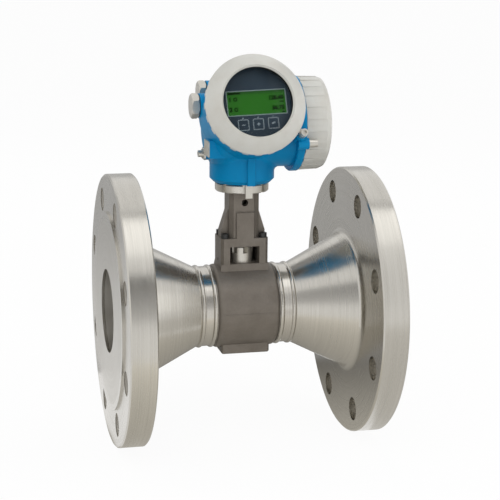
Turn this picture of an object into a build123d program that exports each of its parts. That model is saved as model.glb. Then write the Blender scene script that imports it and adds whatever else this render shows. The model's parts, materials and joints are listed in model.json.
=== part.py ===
from build123d import *
import os
from math import cos, radians, sin, sqrt

# Vortex flow meter with weld-neck flanges, a slender cast neck and a two-chamber transmitter head.
# Millimetres. Origin at the centre of the inlet sealing face, +X with the flow, +Z up the neck.
# The display looks towards -Y.

# Pipe run
face_to_face = 300.0
flange_diameter = 300.0
rim_thickness = 29.0
raised_face_height = 2.4
raised_face_margin = 3.0
bolt_hole = 26.0
bolt_edge = 25.0
bolt_count = 8
first_bolt_angle = 22.5
rim_chamfer = 1.5
hub_diameter = 155.0
hub_root_fillet = 7.0
spool_diameter = 88.9
spool_length = 19.0
face_bore = 92.0
face_bore_depth = 58.0
meter_bore = 76.0
reducer_length = 26.0
bead_width = 5.0
bead_height = 1.6
bead_margin = 0.3

# Cast meter body
body_diameter = 93.0
body_length = 69.0
body_edge_fillet = 4.5
pad_length = 52.0
pad_width = 35.0
pad_top = 50.0
pad_draft = 10.0
foot_length = 54.0
foot_width = 50.0
foot_bottom = -50.0
foot_fillet = 2.5
parting_width = 1.0
parting_height = 0.5

# Vortex shedder and sensor
shedder_width = 21.0
shedder_depth = 17.0
shedder_nose = 2.5
shedder_tail_width = 4.0
shedder_upstream = 27.0
weld_gap = 0.05
sensor_head_diameter = 22.0
sensor_head_height = 5.0
sensor_stem_diameter = 13.0
sensor_post_diameter = 9.0
sensor_post_height = 16.5
paddle_width = 13.0
paddle_thickness = 3.0
paddle_depth = 25.0
gasket_thickness = 1.0
seat_clearance = 0.25
nut_diameter = 25.0
nut_height = 10.5
nut_hole = 10.0
nut_lugs = 6
nut_lug_height = 6.5
nut_lug_width = 7.0
nut_lug_depth = 5.0
nut_lug_angle = 10.6
lead_diameter = 6.0
connector_diameter = 12.0
connector_height = 9.0

# Cast neck
neck_base_length = 53.0
neck_base_depth = 36.0
neck_base_top = 78.6
neck_base_chamfer = 3.0
neck_column_length = 33.5
neck_column_chamfer = 4.5
neck_top = 130.0
flare_length = 49.5
flare_bottom = 86.0
flare_top = 111.0
flare_depth = 14.5
window_width = 33.0
window_height = 19.4
window_depth = 32.5
neck_bore = 14.0
vent_height = 118.0
vent_diameter = 7.6
drain_height = 52.8
drain_diameter = 4.0
rib_width = 19.5
rib_offset = 0.5
rib_proud = 2.0
rib_top = 108.0
rib_groove_width = 1.6
rib_groove_depth = 1.4

# Socket-head screws of the neck
neck_screw_spacing_x = 43.0
neck_screw_spacing_y = 25.0
neck_screw_diameter = 5.0
neck_screw_head_diameter = 8.5
neck_screw_head_height = 5.0
neck_screw_engagement = 11.0
screw_pocket_clearance = 0.8
screw_pocket_height = 22.0
screw_hole_clearance = 0.3
thread_play = 0.1
hex_socket_share = 0.5
hex_socket_depth_share = 0.6

# Swivel between neck and head
spigot_diameter = 36.0
spigot_height = 27.0
swivel_clearance = 0.3
swivel_nut_diameter = 59.0
swivel_nut_height = 9.2
swivel_nut_gap = 1.0
swivel_nut_slots = 8
swivel_nut_slot_width = 4.0
swivel_nut_slot_depth = 3.2
swivel_nut_slot_angle = -97.0
seal_section = 2.4
seal_offset = 12.0
tab_width = 7.6
tab_thickness = 1.5
tab_gap = 0.7
tab_length = 14.6
tab_offset = 1.0
set_screw_diameter = 6.0
set_screw_recess = 2.0
set_screw_offset = 8.0

# Transmitter head
base_diameter = 71.0
base_chamfer = 4.0
terminal_axis_rise = 62.3
terminal_chamber_diameter = 94.0
terminal_chamber_left = -40.0
terminal_chamber_right = 51.0
terminal_end_fillet = 18.0
terminal_rim_diameter = 105.0
terminal_rim_width = 8.5
terminal_rim_chamfer = 1.0
terminal_cavity_diameter = 76.0
terminal_cavity_left = -33.0
terminal_step = 20.0
terminal_step_diameter = 66.0
display_tilt = 20.0
display_roll = 2.2
display_rim_y = -57.0
display_rise = 27.35
display_barrel_diameter = 99.0
display_barrel_length = 80.0
display_end_fillet = 30.0
display_cavity_diameter = 84.0
display_cavity_depth = 19.5
front_rib_width = 9.0
front_rib_offset = 2.2
front_rib_proud = 2.6
front_rib_height = 30.0
casting_fillet_share = 0.435
fillet_reach = 31.8

# Covers
cover_gap = 0.5
thread_clearance = 0.4
collar_height = 10.0
display_collar_diameter = 92.0
display_cover_diameter = 108.0
display_cover_side = 6.0
display_cover_height = 20.0
display_window_diameter = 74.6
display_lip_width = 1.8
window_glass_diameter = 83.6
window_glass_thickness = 4.0
window_seal_thickness = 0.8
window_ring_thickness = 1.4
window_recess = 3.0
terminal_collar_diameter = 90.0
terminal_cover_diameter = 103.0
terminal_cover_length = 29.0
terminal_cover_wall = 3.5
terminal_cover_shoulder = 7.0
terminal_cover_taper = 2.6
cover_grooves = 24
cover_groove_width = 7.5
cover_groove_depth = 1.0

# Display and electronics
module_clearance = 0.5
electronics_thickness = 14.0
pivot_diameter = 12.0
pivot_height = 7.0
display_gap = 0.6
display_case_diameter = 79.0
display_case_thickness = 12.0
faceplate_thickness = 1.0
faceplate_diameter = 78.6
lcd_width = 66.0
lcd_height = 28.5
lcd_thickness = 2.0
lcd_view_width = 63.0
lcd_view_height = 25.5
lcd_offset_x = 0.6
lcd_offset_y = 1.2
terminal_board_thickness = 3.0
terminal_block_length = 46.0
terminal_block_width = 16.0
terminal_block_height = 15.0
terminal_count = 6
terminal_screw_diameter = 5.0
terminal_screw_height = 2.0
terminal_entry_width = 4.4
terminal_entry_depth = 7.0

# Cable entries, ground terminal and name plate on the left end
entry_thread = 19.0
entry_boss_diameter = 27.0
plug_across_flats = 24.0
plug_head_height = 8.0
plug_shank_length = 9.0
plug_chamfer = 1.6
entry_depth = 18.0
entry_boss_depth = 34.0
spot_face_clearance = 0.5
plug_seal_thickness = 0.9
lower_entry_y = -8.0
lower_entry_rise = 21.9
lower_entry_face = -50.0
upper_entry_y = 18.5
upper_entry_rise = 32.5
upper_entry_face = -37.0
ground_y = 2.0
ground_drop = 31.5
ground_boss_diameter = 14.0
ground_boss_face = -41.0
ground_plate_size = 13.0
ground_plate_thickness = 2.0
ground_washer_diameter = 10.0
ground_washer_thickness = 1.6
ground_screw_diameter = 5.0
ground_head_diameter = 7.5
ground_head_height = 4.0
ground_screw_engagement = 9.0
plate_y = -22.0
plate_drop = 22.0
plate_length = 24.0
plate_width = 17.0
plate_thickness = 1.0
plate_pad_face = -43.2
plate_pad_depth = 18.0
plate_pad_margin = 1.0
rivet_diameter = 2.2
rivet_head = 3.4
rivet_proud = 0.6

# Cover clamps
display_clamp_radius = 59.6
display_clamp_angle = -31.5
clamp_boss_diameter = 12.4
display_clamp_seat = -6.0
display_clamp_boss_length = 26.0
clamp_diameter = 8.8
clamp_height = 8.0
clamp_claw_width = 6.0
clamp_clearance = 0.4
clamp_screw_diameter = 4.0
clamp_screw_head = 8.0
clamp_screw_head_height = 4.0
clamp_screw_engagement = 8.0
terminal_clamp_radius = 58.2
terminal_clamp_angle = 194.6
terminal_clamp_boss_length = 12.0
terminal_clamp_height = 6.0

# Sizes that follow from those above
middle = face_to_face / 2
body_half = body_length / 2
bolt_circle = flange_diameter - 2 * bolt_edge
raised_face_diameter = bolt_circle - bolt_hole - 2 * raised_face_margin
rim_back = raised_face_height + rim_thickness
hub_end = middle - body_half - spool_length
bore_radius = meter_bore / 2
neck_front = -neck_base_depth / 2
neck_column_depth = neck_base_depth - 2 * rib_proud
seat_height = pad_top - sensor_head_height - gasket_thickness
base_bottom = neck_top + swivel_nut_height + swivel_nut_gap
spigot_top = neck_top + spigot_height
terminal_axis_height = base_bottom + terminal_axis_rise
display_rim_height = terminal_axis_height + display_rise
casting_fillet = casting_fillet_share * (terminal_chamber_diameter - base_diameter) / 2
lower_entry_height = terminal_axis_height + lower_entry_rise
upper_entry_height = terminal_axis_height + upper_entry_rise
ground_height = terminal_axis_height - ground_drop
plate_height = terminal_axis_height - plate_drop
terminal_rim_face = terminal_chamber_right + terminal_rim_width
terminal_collar_end = terminal_rim_face + collar_height
terminal_cover_back = terminal_rim_face + cover_gap
terminal_seal_place = terminal_rim_face + 2 * seal_section
display_seal_place = 2 * seal_section - cover_gap
electronics_top = -display_cavity_depth + electronics_thickness
display_back = electronics_top + display_gap
display_front = display_back + display_case_thickness
window_glass_front = display_cover_height - window_recess - window_seal_thickness
window_glass_back = window_glass_front - window_glass_thickness

# Places where groups of pieces are set
on_body = Pos(middle, 0, 0)
display_axis = (0, -cos(radians(display_tilt)), sin(radians(display_tilt)))
display_centre = (0, display_rim_y, display_rim_height)
on_display = Location(Plane(origin=display_centre, x_dir=(1, 0, 0), z_dir=display_axis))
along_flow = Rot(0, 90, 0)
on_terminal = Pos(0, 0, terminal_axis_height) * along_flow

BASE = (Align.CENTER, Align.CENTER, Align.MIN)


def drum(diameter, start, end):
    """A round bar on Z from start to end."""
    return Pos(0, 0, start) * Cylinder(diameter / 2, end - start, align=BASE)


def turned(outline):
    """A body turned round Z from corners given as (radius, height)."""
    return revolve(Plane.XZ * make_face(Polyline(*outline, close=True)), Axis.Z)


def hexagon(across_flats, start, end):
    """A hexagonal bar on Z from start to end."""
    outline = RegularPolygon(across_flats / 2, 6, major_radius=False)
    return extrude(Pos(0, 0, start) * outline, end - start)


def socket_screw(shank_diameter, head_diameter, head_height, length):
    """A socket-head screw on Z, its head standing on the plane Z = 0."""
    screw = drum(shank_diameter, -length, 0) + drum(head_diameter, 0, head_height)
    socket = head_height * hex_socket_depth_share
    return screw - hexagon(head_diameter * hex_socket_share, head_height - socket, head_height)


def o_ring(outer_diameter, section, height):
    """A sealing ring of round section, centred on Z at a height."""
    return Pos(0, 0, height) * Torus((outer_diameter - section) / 2, section / 2)


def seal_groove(outer_diameter, section, height):
    """The square groove that such a ring lies in, open to the outside."""
    groove = drum(outer_diameter + section, height - section / 2, height + section / 2)
    return groove - drum(outer_diameter - 2 * section, height - section, height + section)


def around(piece, count, start_angle=0.0):
    """Copies of a piece spaced evenly round Z."""
    return [Rot(0, 0, start_angle + 360 * i / count) * piece for i in range(count)]


def weld_neck_flange():
    """The inlet flange: rim, raised face, tapered hub and a bore that narrows to the meter's."""
    outline = Polyline(
        (0, face_bore / 2),
        (0, raised_face_diameter / 2),
        (raised_face_height, raised_face_diameter / 2),
        (raised_face_height, flange_diameter / 2),
        (rim_back, flange_diameter / 2),
        (rim_back, hub_diameter / 2),
        (hub_end, spool_diameter / 2),
        (hub_end, bore_radius),
        (face_bore_depth + reducer_length, bore_radius),
        (face_bore_depth, face_bore / 2),
        close=True,
    )
    section = make_face(outline)
    rim_corners = section.vertices().group_by(Axis.Y)[-1]
    section = chamfer(rim_corners, rim_chamfer)
    hub_root = section.vertices().sort_by_distance((rim_back, hub_diameter / 2, 0))[0]
    section = fillet(hub_root, hub_root_fillet)
    flange = revolve(section, Axis.X)
    hole = Pos(bolt_circle / 2, 0, 0) * drum(bolt_hole, 0, rim_back)
    for drilled in around(hole, bolt_count, first_bolt_angle):
        flange -= along_flow * drilled
    return flange


def weld_ring():
    """The inlet spool ring between hub and body, with the weld bead at each of its ends."""
    start = hub_end
    end = middle - body_half
    outer = spool_diameter / 2
    first = start + bead_margin
    last = end - bead_margin
    crest = outer + bead_height
    inner = bore_radius
    edge = (
        Polyline((first, outer), (start, outer), (start, inner), (end, inner), (end, outer), (last, outer))
        + ThreePointArc((last, outer), (last - bead_width / 2, crest), (last - bead_width, outer))
        + Line((last - bead_width, outer), (first + bead_width, outer))
        + ThreePointArc((first + bead_width, outer), (first + bead_width / 2, crest), (first, outer))
    )
    return revolve(make_face(edge), Axis.X)


def meter_body():
    """The cast body: barrel, sloping pad under the neck, foot, bore and the sensor's seat."""
    barrel = along_flow * Cylinder(body_diameter / 2, body_length)
    barrel = fillet(barrel.edges().filter_by(GeomType.CIRCLE), body_edge_fillet)
    pad = extrude(Pos(0, 0, pad_top) * Rectangle(pad_length, pad_width), -pad_top / 2, taper=-pad_draft)
    foot = Pos(0, 0, foot_bottom) * Box(foot_length, foot_width, -foot_bottom, align=BASE)
    foot = fillet(foot.edges().filter_by(Axis.Z), foot_fillet)
    foot = chamfer(foot.faces().sort_by(Axis.Z)[0].edges(), foot_fillet / 2)
    seam = Box(body_length - 3 * body_edge_fillet, body_diameter + 2 * parting_height, parting_width)
    body = barrel + pad + foot + seam
    body -= along_flow * Cylinder(bore_radius, body_length)
    body -= drum(sensor_head_diameter + 2 * seat_clearance, seat_height, pad_top)
    body -= drum(sensor_stem_diameter + 2 * seat_clearance, 0, pad_top)
    thread = neck_screw_diameter + thread_play
    for spot in neck_screw_spots():
        body -= spot * drum(thread, pad_top - neck_screw_engagement - 1, pad_top)
    return on_body * body


def shedder_bar():
    """The upright bluff bar across the bore that sheds the vortices."""
    half = shedder_width / 2
    tail = shedder_tail_width / 2
    section = make_face(
        Polyline(
            (0, -half),
            (shedder_nose, -half),
            (shedder_depth, -tail),
            (shedder_depth, tail),
            (shedder_nose, half),
            (0, half),
            close=True,
        )
    )
    bar = Pos(-shedder_upstream, 0, -bore_radius) * extrude(section, meter_bore)
    bar = bar & (along_flow * Cylinder(bore_radius - weld_gap, body_length))
    return on_body * bar


def vortex_sensor():
    """The sensor: head in the body's seat, stem through the wall, paddle in the flow, post for the lead."""
    head_bottom = seat_height + gasket_thickness
    wall_end = bore_radius - 1
    sensor = drum(sensor_head_diameter, head_bottom, pad_top)
    sensor += drum(sensor_stem_diameter, wall_end, head_bottom)
    sensor += drum(sensor_post_diameter, pad_top, pad_top + sensor_post_height)
    paddle = Box(paddle_width, paddle_thickness, paddle_depth, align=BASE)
    paddle = Pos(0, 0, wall_end - paddle_depth) * paddle
    paddle = fillet(paddle.edges().filter_by(Axis.Z), paddle_thickness / 3)
    return on_body * (sensor + paddle)


def sensor_gasket():
    """The flat ring that seals the sensor's head on its seat."""
    ring = drum(sensor_head_diameter, seat_height, seat_height + gasket_thickness)
    ring -= drum(sensor_stem_diameter + 2 * seat_clearance, seat_height, seat_height + gasket_thickness)
    return on_body * ring


def sensor_lock_nut():
    """The bright castle nut that holds the sensor down, seen through the neck's window."""
    rim_top = pad_top + nut_height
    nut = drum(nut_diameter, pad_top, rim_top + nut_lug_height)
    crown = Pos(0, 0, rim_top) * Box(nut_diameter, nut_lug_width, nut_lug_height, align=BASE)
    turns = [nut_lug_angle + 360 * i / nut_lugs for i in range(nut_lugs // 2)]
    lugs = Part() + [Rot(0, 0, turn) * crown for turn in turns]
    band = drum(nut_diameter, rim_top, rim_top + nut_lug_height)
    nut -= band - lugs
    nut -= drum(nut_diameter - 2 * nut_lug_depth, rim_top, rim_top + nut_lug_height)
    nut -= drum(nut_hole, pad_top, rim_top)
    return on_body * nut


def sensor_lead():
    """The stiff sheathed lead that climbs the neck, with its connector at the top."""
    start = pad_top + sensor_post_height
    end = spigot_top - 1
    lead = drum(lead_diameter, start, end)
    lead += drum(connector_diameter, end - connector_height, end)
    return on_body * lead


def neck_screw_spots():
    """The four places of the neck's screws, as locations on the middle of the body."""
    half_x = neck_screw_spacing_x / 2
    half_y = neck_screw_spacing_y / 2
    return [Pos(x, y, 0) for x in (-half_x, half_x) for y in (-half_y, half_y)]


def neck_support():
    """The cast neck: windowed foot, flared column with a front rib, and the round spigot on top."""
    foot = Pos(0, 0, pad_top) * Box(neck_base_length, neck_base_depth, neck_base_top - pad_top, align=BASE)
    foot = chamfer(foot.edges().filter_by(Axis.Z), neck_base_chamfer)
    column_height = neck_top - neck_base_top
    column = Box(neck_column_length, neck_column_depth, column_height, align=BASE)
    column = Pos(0, 0, neck_base_top) * column
    column = chamfer(column.edges().filter_by(Axis.Z), neck_column_chamfer)
    half_top = neck_column_length / 2
    half_bottom = flare_length / 2
    wings = make_face(
        Polyline(
            (-half_bottom, neck_base_top),
            (half_bottom, neck_base_top),
            (half_bottom, flare_bottom),
            (half_top, flare_top),
            (-half_top, flare_top),
            (-half_bottom, flare_bottom),
            close=True,
        )
    )
    flare = extrude(Plane.XZ * wings, flare_depth / 2, both=True)
    rib_depth = -neck_front
    rib = Box(rib_width, rib_depth, rib_top - neck_base_top, align=(Align.CENTER, Align.MAX, Align.MIN))
    rib = Pos(rib_offset, 0, neck_base_top) * rib
    rib = chamfer(rib.faces().sort_by(Axis.Z)[-1].edges().sort_by(Axis.Y)[0], rib_proud / 2)
    neck = foot + column + flare + rib
    neck += drum(spigot_diameter, neck_top, spigot_top)
    window = Box(window_width, window_depth, window_height, align=(Align.CENTER, Align.MIN, Align.MIN))
    neck -= Pos(0, neck_front, pad_top) * window
    neck -= drum(neck_bore, pad_top, spigot_top)
    neck -= Pos(0, 0, vent_height) * Rot(90, 0, 0) * drum(vent_diameter, 0, neck_base_depth)
    neck -= Pos(0, 0, drain_height) * Rot(0, -90, 0) * drum(drain_diameter, 0, neck_base_length)
    groove_x = rib_offset + rib_width / 2 + rib_groove_width / 2
    groove = Box(rib_groove_width, rib_groove_depth, column_height, align=(Align.CENTER, Align.MIN, Align.MIN))
    neck -= Pos(groove_x, -neck_column_depth / 2, neck_base_top) * groove
    pocket = neck_screw_head_diameter + 2 * screw_pocket_clearance
    hole = neck_screw_diameter + 2 * screw_hole_clearance
    for spot in neck_screw_spots():
        neck -= spot * drum(pocket, neck_base_top, neck_base_top + screw_pocket_height)
        neck -= spot * drum(hole, pad_top, neck_base_top)
    neck -= seal_groove(spigot_diameter, seal_section, base_bottom + seal_offset)
    return on_body * neck


def neck_screws():
    """The four socket-head screws that hold the neck on the body."""
    length = neck_base_top - pad_top + neck_screw_engagement
    screw = socket_screw(neck_screw_diameter, neck_screw_head_diameter, neck_screw_head_height, length)
    raised = Pos(0, 0, neck_base_top)
    return on_body * Compound(children=[spot * raised * screw for spot in neck_screw_spots()])


def swivel_seal():
    """The sealing ring in the spigot's groove."""
    return on_body * o_ring(spigot_diameter, seal_section, base_bottom + seal_offset)


def swivel_nut():
    """The slotted round nut under the head."""
    nut = drum(swivel_nut_diameter, neck_top, neck_top + swivel_nut_height)
    nut = chamfer(nut.edges().filter_by(GeomType.CIRCLE), swivel_nut_gap)
    slot = Box(2 * swivel_nut_slot_depth, swivel_nut_slot_width, swivel_nut_height, align=BASE)
    slot = Pos(swivel_nut_diameter / 2, 0, neck_top) * slot
    for cut in around(slot, swivel_nut_slots, swivel_nut_slot_angle):
        nut -= cut
    nut -= drum(spigot_diameter + 2 * weld_gap, neck_top, neck_top + swivel_nut_height)
    return on_body * nut


def entry_places():
    """The lower and the upper cable entry, each with its Z axis pointing out to the left."""
    outwards = Rot(0, -90, 0)
    lower = Pos(lower_entry_face, lower_entry_y, lower_entry_height) * outwards
    upper = Pos(upper_entry_face, upper_entry_y, upper_entry_height) * outwards
    return lower, upper


def display_clamp_place():
    """The seat of the display cover's clamp, in the head's frame, Z along the display axis."""
    angle = radians(display_clamp_angle)
    x = display_clamp_radius * cos(angle)
    y = display_clamp_radius * sin(angle)
    return on_display * Pos(x, y, display_clamp_seat)


def terminal_clamp_place():
    """The seat of the terminal cover's clamp, Z with the terminal axis and X away from that axis."""
    angle = radians(terminal_clamp_angle)
    outwards = (0, cos(angle), sin(angle))
    y = terminal_clamp_radius * outwards[1]
    z = terminal_clamp_radius * outwards[2] + terminal_axis_height
    return Location(Plane(origin=(terminal_rim_face, y, z), x_dir=outwards, z_dir=(1, 0, 0)))


def transmitter_housing():
    """The cast head: base, tilted display barrel, cross chamber for the terminals, bosses and threads."""
    base = drum(base_diameter, base_bottom, terminal_axis_height)
    base = chamfer(base.faces().sort_by(Axis.Z)[0].edges(), base_chamfer)
    chamber = on_terminal * drum(terminal_chamber_diameter, terminal_chamber_left, terminal_chamber_right)
    chamber = fillet(chamber.edges().sort_by(Axis.X)[0], terminal_end_fillet)
    barrel = drum(display_barrel_diameter, -display_barrel_length, -cover_gap)
    barrel = on_display * fillet(barrel.edges().sort_by(Axis.Z)[0], display_end_fillet)
    shell = chamber + barrel + base
    joins = shell.edges().filter_by(GeomType.BSPLINE)
    lower_joins = [edge for edge in joins if edge.center().Z < base_bottom + fillet_reach]
    shell = fillet(lower_joins, casting_fillet)

    rim = drum(terminal_rim_diameter, terminal_chamber_right, terminal_rim_face)
    rim = chamfer(rim.edges().filter_by(GeomType.CIRCLE), terminal_rim_chamfer)
    shell += on_terminal * rim
    shell += on_terminal * drum(terminal_collar_diameter, terminal_rim_face, terminal_collar_end)
    shell += on_display * drum(display_collar_diameter, -cover_gap, collar_height - cover_gap)

    rib_depth = base_diameter / 2 + front_rib_proud
    rib = Box(front_rib_width, rib_depth, front_rib_height, align=(Align.CENTER, Align.MAX, Align.MIN))
    rib = fillet(rib.faces().sort_by(Axis.Y)[0].edges().filter_by(Axis.Z), front_rib_proud / 2)
    shell += Pos(front_rib_offset, 0, base_bottom) * rib

    for place in entry_places():
        shell += place * drum(entry_boss_diameter, -entry_boss_depth, 0)
    shell += ground_place() * drum(ground_boss_diameter, -base_diameter / 4, 0)
    pad_size = (2 * plate_pad_margin + plate_length, 2 * plate_pad_margin + plate_width)
    pad = Box(plate_pad_depth, pad_size[0], pad_size[1], align=(Align.MIN, Align.CENTER, Align.CENTER))
    shell += Pos(plate_pad_face, plate_y, plate_height) * pad
    shell += display_clamp_place() * drum(clamp_boss_diameter, -display_clamp_boss_length, 0)
    shell += terminal_clamp_place() * drum(clamp_boss_diameter, -terminal_clamp_boss_length, 0)

    shell -= on_terminal * drum(terminal_cavity_diameter, terminal_step, terminal_collar_end)
    shell -= on_terminal * drum(terminal_step_diameter, terminal_cavity_left, terminal_step)
    shell -= on_display * drum(display_cavity_diameter, -display_cavity_depth, collar_height)
    shell -= drum(spigot_diameter + 2 * swivel_clearance, base_bottom, spigot_top + 1)
    shell -= drum(connector_diameter + 4 * swivel_clearance, base_bottom, terminal_axis_height)
    spot_face = 2 * (plug_across_flats / sqrt(3) + spot_face_clearance)
    for place in entry_places():
        shell -= place * drum(spot_face, 0, plug_head_height)
        shell -= place * drum(entry_thread, -entry_depth, 0)
    shell -= ground_place() * drum(ground_screw_diameter, -ground_screw_engagement, 0)
    shell -= display_clamp_place() * drum(clamp_screw_diameter, -clamp_screw_engagement, 0)
    shell -= terminal_clamp_place() * drum(clamp_screw_diameter, -clamp_screw_engagement, 0)
    screw_hole = drum(set_screw_diameter, 0, base_diameter / 2)
    shell -= Pos(0, 0, base_bottom + set_screw_offset) * Rot(-90, 0, 0) * screw_hole
    shell -= on_terminal * seal_groove(terminal_collar_diameter, seal_section, terminal_seal_place)
    shell -= on_display * seal_groove(display_collar_diameter, seal_section, display_seal_place)
    return on_body * shell


def swivel_tab():
    """The flat steel tab under the head, hanging in front of the slotted nut."""
    inner = swivel_nut_diameter / 2 + tab_gap
    front = Box(tab_width, tab_thickness, tab_length, align=(Align.CENTER, Align.MAX, Align.MAX))
    return on_body * Pos(tab_offset, -inner, base_bottom) * front


def display_cover_oring():
    """The sealing ring on the display chamber's thread."""
    return on_body * on_display * o_ring(display_collar_diameter, seal_section, display_seal_place)


def terminal_cover_oring():
    """The sealing ring on the terminal chamber's thread."""
    return on_body * on_terminal * o_ring(terminal_collar_diameter, seal_section, terminal_seal_place)


def electronics_module():
    """The electronics block on the floor of the display chamber, with the display's pivot."""
    diameter = display_cavity_diameter - 2 * module_clearance
    block = drum(diameter, -display_cavity_depth, electronics_top)
    block = chamfer(block.edges().filter_by(GeomType.CIRCLE).sort_by(Axis.Z)[-1], module_clearance)
    block += drum(pivot_diameter, electronics_top, electronics_top + pivot_height)
    return on_body * on_display * block


def on_display_module():
    """The frame of the turned display, its Z along the display axis."""
    return on_body * on_display * Rot(0, 0, display_roll)


def display_case():
    """The display's plastic case, with the pocket for the panel and the socket for the pivot."""
    case = drum(display_case_diameter, display_back, display_front)
    case = chamfer(case.edges().filter_by(GeomType.CIRCLE), module_clearance)
    pocket = Box(lcd_width, lcd_height, lcd_thickness, align=(Align.CENTER, Align.CENTER, Align.MAX))
    case -= Pos(lcd_offset_x, lcd_offset_y, display_front) * pocket
    socket_end = electronics_top + pivot_height + display_gap
    case -= drum(pivot_diameter + 2 * swivel_clearance, display_back, socket_end)
    return on_display_module() * case


def lcd_panel():
    """The liquid crystal panel in its pocket."""
    width = lcd_width - module_clearance
    height = lcd_height - module_clearance
    panel = Box(width, height, lcd_thickness, align=(Align.CENTER, Align.CENTER, Align.MAX))
    return on_display_module() * Pos(lcd_offset_x, lcd_offset_y, display_front) * panel


def display_faceplate():
    """The thin dark faceplate with its opening for the panel."""
    plate = drum(faceplate_diameter, display_front, display_front + faceplate_thickness)
    opening = Box(lcd_view_width, lcd_view_height, faceplate_thickness, align=BASE)
    plate -= Pos(lcd_offset_x, lcd_offset_y, display_front) * opening
    return on_display_module() * plate


def grooved(cover, diameter, start, end):
    """A cover with shallow grip grooves cut along its side."""
    groove = Box(2 * cover_groove_depth, cover_groove_width, end - start, align=BASE)
    groove = Pos(diameter / 2, 0, start) * groove
    return cover - around(groove, cover_grooves, 180 / cover_grooves)


def display_cover():
    """The screwed ring that carries the window, with a smooth sloping front and a gripped side."""
    side = display_cover_diameter / 2
    lip = display_window_diameter / 2
    skirt = display_collar_diameter / 2 + thread_clearance
    pocket = window_glass_diameter / 2 + seat_clearance
    crown = display_cover_height
    ring_back = window_glass_back - window_ring_thickness
    outline = (
        Polyline(
            (lip + display_lip_width, crown),
            (lip, crown - display_lip_width),
            (lip, crown - window_recess),
            (pocket, crown - window_recess),
            (pocket, ring_back),
            (skirt, ring_back),
            (skirt, 0),
            (side, 0),
            (side, display_cover_side),
        )
        + RadiusArc((side, display_cover_side), (lip + display_lip_width, crown), -side)
    )
    ring = revolve(Plane.XZ * make_face(outline), Axis.Z)
    return on_body * on_display * grooved(ring, display_cover_diameter, -cover_gap, display_cover_side)


def cover_window():
    """The round window glass."""
    glass = drum(window_glass_diameter, window_glass_back, window_glass_front)
    return on_body * on_display * glass


def window_seal():
    """The flat seal between window and lip."""
    top = window_glass_front + window_seal_thickness
    ring = drum(window_glass_diameter, window_glass_front, top)
    ring -= drum(display_window_diameter, window_glass_front, top)
    return on_body * on_display * ring


def window_ring():
    """The ring that holds the window from behind."""
    back = window_glass_back - window_ring_thickness
    ring = drum(window_glass_diameter, back, window_glass_back)
    ring -= drum(display_window_diameter, back, window_glass_back)
    return on_body * on_display * ring


def terminal_cover():
    """The screwed cover of the terminal chamber, gripped all round, with a rounded end."""
    side = terminal_cover_diameter / 2
    skirt = terminal_collar_diameter / 2 + thread_clearance
    back = terminal_cover_back
    end = back + terminal_cover_length
    shoulder = end - terminal_cover_shoulder
    inner_end = end - terminal_cover_wall
    face_edge = side - terminal_cover_shoulder
    outline = Polyline(
        (0, inner_end),
        (skirt - terminal_cover_taper, inner_end),
        (skirt - terminal_cover_taper, terminal_collar_end + cover_gap),
        (skirt, terminal_collar_end),
        (skirt, back),
        (side, back),
        (side - terminal_cover_taper / 4, shoulder),
        (side - terminal_cover_taper, end - terminal_cover_shoulder / 3),
        (face_edge, end),
        (0, end),
        close=True,
    )
    cover = revolve(Plane.XZ * make_face(outline), Axis.Z)
    return on_body * on_terminal * grooved(cover, terminal_cover_diameter, back - cover_gap, end)


def terminal_board():
    """The round board that closes the terminal chamber's step and carries the terminals."""
    diameter = terminal_cavity_diameter - 2 * module_clearance
    return on_body * on_terminal * drum(diameter, terminal_step, terminal_step + terminal_board_thickness)


def terminal_block_front():
    """The X place of the terminal block's front face."""
    return terminal_step + terminal_board_thickness + terminal_block_height


def terminal_rows():
    """The Y places of the terminals, evenly spaced along the block."""
    pitch = terminal_block_length / terminal_count
    return [pitch * (i + 0.5) - terminal_block_length / 2 for i in range(terminal_count)]


def terminal_block():
    """The terminal block with a wire entry and a screw well for each terminal."""
    start = terminal_step + terminal_board_thickness
    block = Box(terminal_block_width, terminal_block_length, terminal_block_height, align=BASE)
    block = Pos(0, 0, start) * block
    front = terminal_block_front()
    for y in terminal_rows():
        well = drum(terminal_screw_diameter + 2 * seat_clearance, front - 2 * terminal_screw_height, front)
        block -= Pos(0, y, 0) * well
        entry = Box(terminal_entry_depth, terminal_entry_width, terminal_entry_width, align=BASE)
        block -= Pos(terminal_block_width / 2, y, start + terminal_entry_width) * entry
    return on_body * on_terminal * block


def terminal_screws():
    """The clamping screws in their wells."""
    bottom = terminal_block_front() - 2 * terminal_screw_height
    screw = drum(terminal_screw_diameter, bottom, bottom + terminal_screw_height)
    slot = Box(terminal_screw_diameter, terminal_screw_height / 2, terminal_screw_height / 2, align=BASE)
    screw -= Pos(0, 0, bottom + terminal_screw_height / 2) * slot
    return on_body * on_terminal * Compound(children=[Pos(0, y, 0) * screw for y in terminal_rows()])


def cable_plug(place):
    """A hexagonal blind plug in a cable entry."""
    start = plug_seal_thickness
    head = hexagon(plug_across_flats, start, start + plug_head_height)
    rounding = drum(2 * plug_across_flats / sqrt(3), start, start + plug_head_height)
    rounding = chamfer(rounding.edges().filter_by(GeomType.CIRCLE), plug_chamfer)
    shank = drum(entry_thread - 2 * weld_gap, -plug_shank_length, start)
    return on_body * place * (head & rounding) + on_body * place * shank


def lower_cable_plug():
    """The blind plug of the lower, front cable entry."""
    return cable_plug(entry_places()[0])


def upper_cable_plug():
    """The blind plug of the upper, rear cable entry."""
    return cable_plug(entry_places()[1])


def plug_seals():
    """The flat seals under both blind plugs."""
    ring = drum(plug_across_flats, 0, plug_seal_thickness) - drum(entry_thread, 0, plug_seal_thickness)
    return on_body * Compound(children=[place * ring for place in entry_places()])


def ground_place():
    """The face of the ground boss, Z pointing out to the left."""
    return Pos(ground_boss_face, ground_y, ground_height) * Rot(0, -90, 0)


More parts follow.
